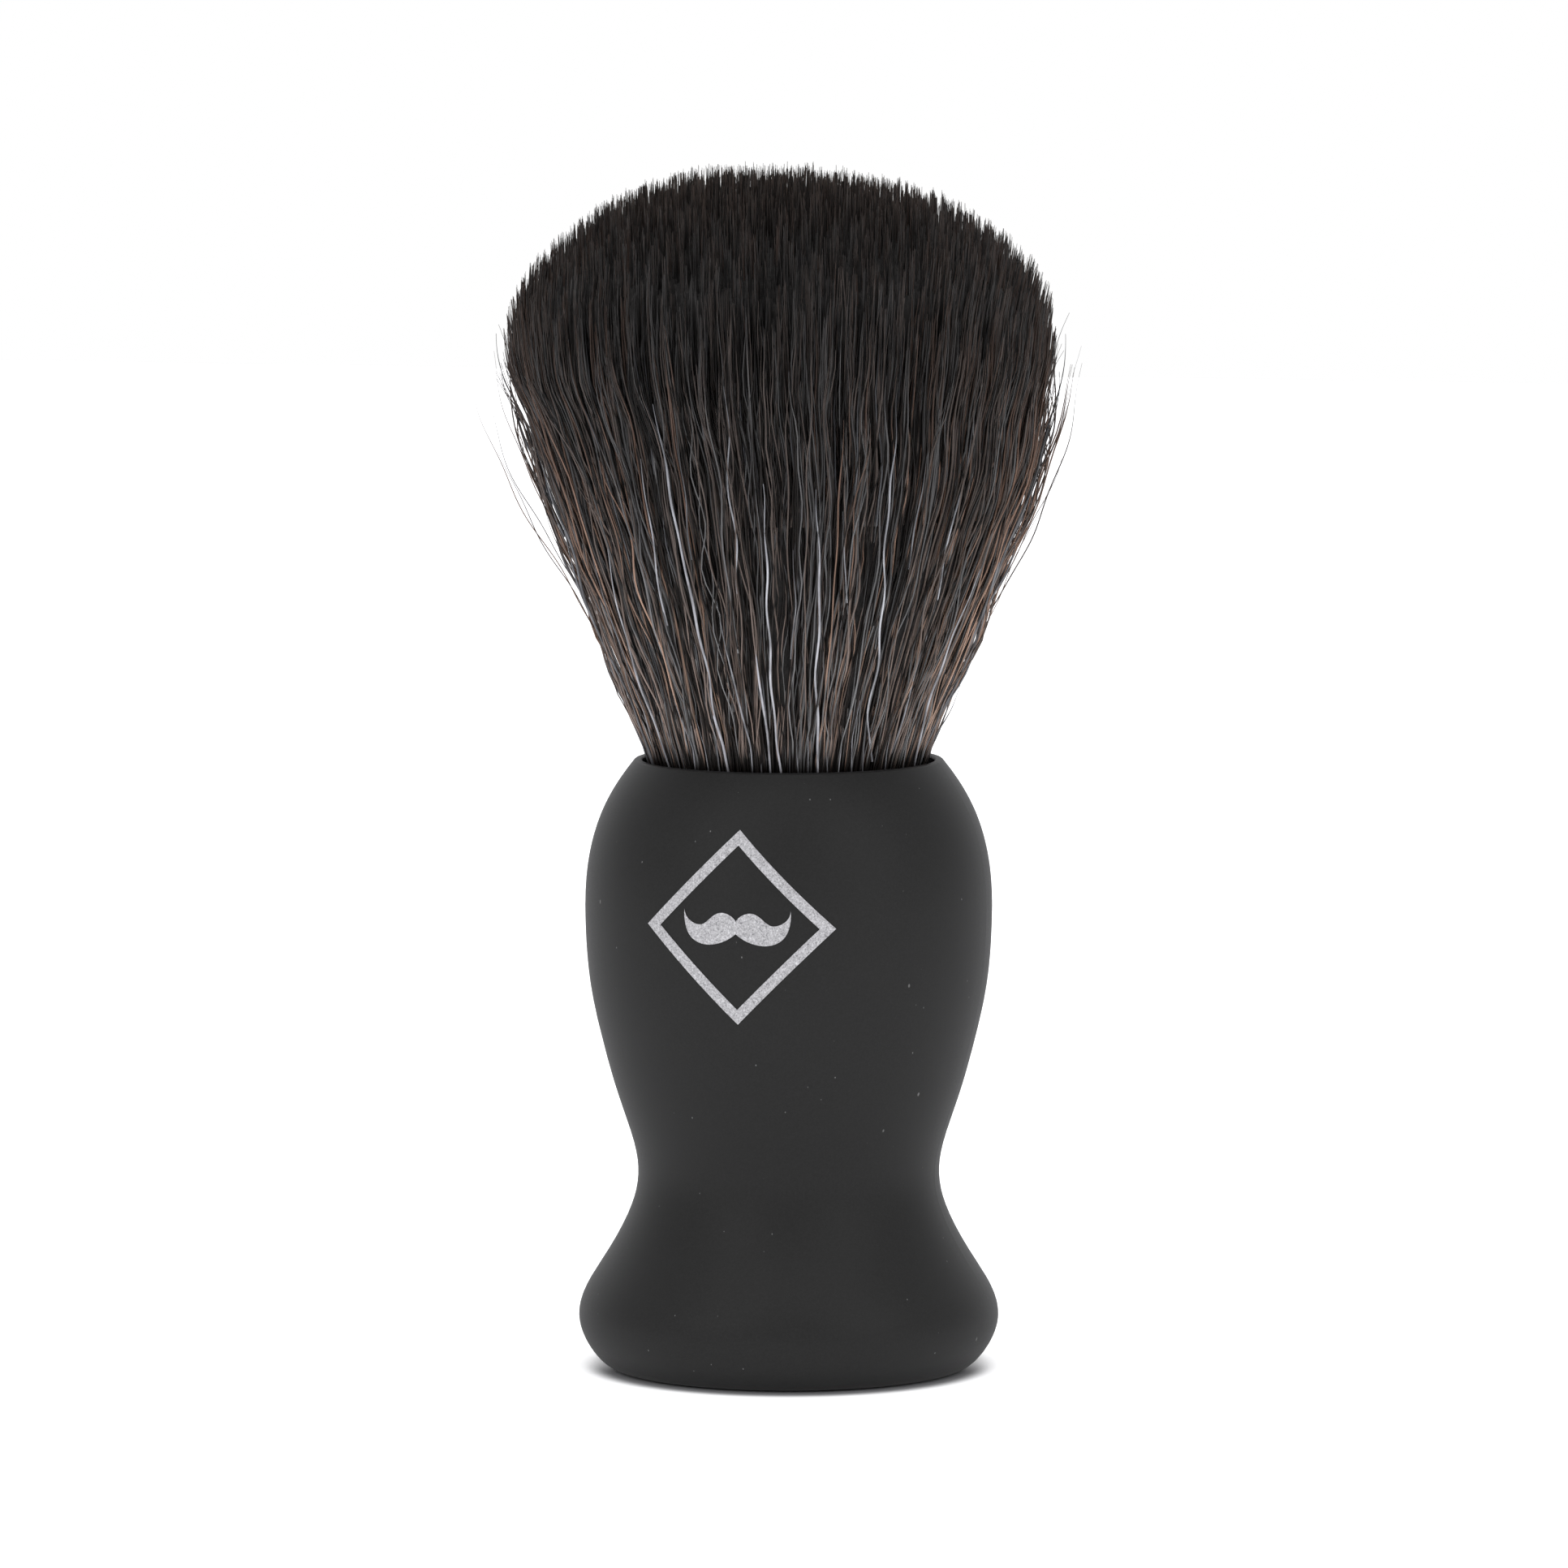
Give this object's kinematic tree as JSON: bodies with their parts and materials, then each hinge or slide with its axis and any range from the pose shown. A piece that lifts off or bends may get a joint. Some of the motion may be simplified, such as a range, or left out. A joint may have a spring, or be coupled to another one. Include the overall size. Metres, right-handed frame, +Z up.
{
  "type": "shaving brush",
  "caption": "Shaving brush with a waisted matte black weighted handle and a domed black synthetic fibre knot that bends at the mouth.",
  "frame": {"origin": "centre of the foot pad's lower face, on the surface the brush stands on", "axes": "+Z up the axis of the handle and knot, -Y towards the printed emblem, +X to the right as seen from the emblem's side"},
  "size_m": [0.0512, 0.0512, 0.1101],
  "materials": {
    "handle_soft_touch": "matte",
    "emblem_ink": "satin",
    "base_plastic": "matte",
    "screw_steel": "satin",
    "insert_brass": "satin",
    "ballast_steel": "satin",
    "washer_foam": "matte",
    "pad_rubber": "matte",
    "ferrule_plastic": "satin",
    "potting_epoxy": "gloss",
    "cord_thread": "matte",
    "bond_epoxy": "gloss",
    "knot_fibre": "satin"
  },
  "bodies": {
    "handle": {"handle_shell": "handle_soft_touch", "emblem_print": "emblem_ink", "base_plate": "base_plastic", "base_screw": "screw_steel", "threaded_insert": "insert_brass", "ballast_slug": "ballast_steel", "damping_washer": "washer_foam", "foot_pad": "pad_rubber", "knot_ferrule": "ferrule_plastic", "root_potting": "potting_epoxy", "binding_cord": "cord_thread", "socket_bond": "bond_epoxy", "fibre_roots": "knot_fibre"},
    "fibre_lower": {"fibre_belly": "knot_fibre"},
    "fibre_upper": {"fibre_crown": "knot_fibre"}
  },
  "joints": [
    {"name": "fibre_bend_side", "type": "hinge", "parent": "handle", "child": "fibre_lower", "pos_m": [0, 0, 0.0566], "axis": [0, 1, 0], "range_deg": [-20, 20], "stiffness_Nm_per_rad": 0.12},
    {"name": "fibre_bend_front", "type": "hinge", "parent": "fibre_lower", "child": "fibre_upper", "pos_m": [0, 0, 0.07], "axis": [1, 0, 0], "range_deg": [-20, 20], "stiffness_Nm_per_rad": 0.08}
  ]
}
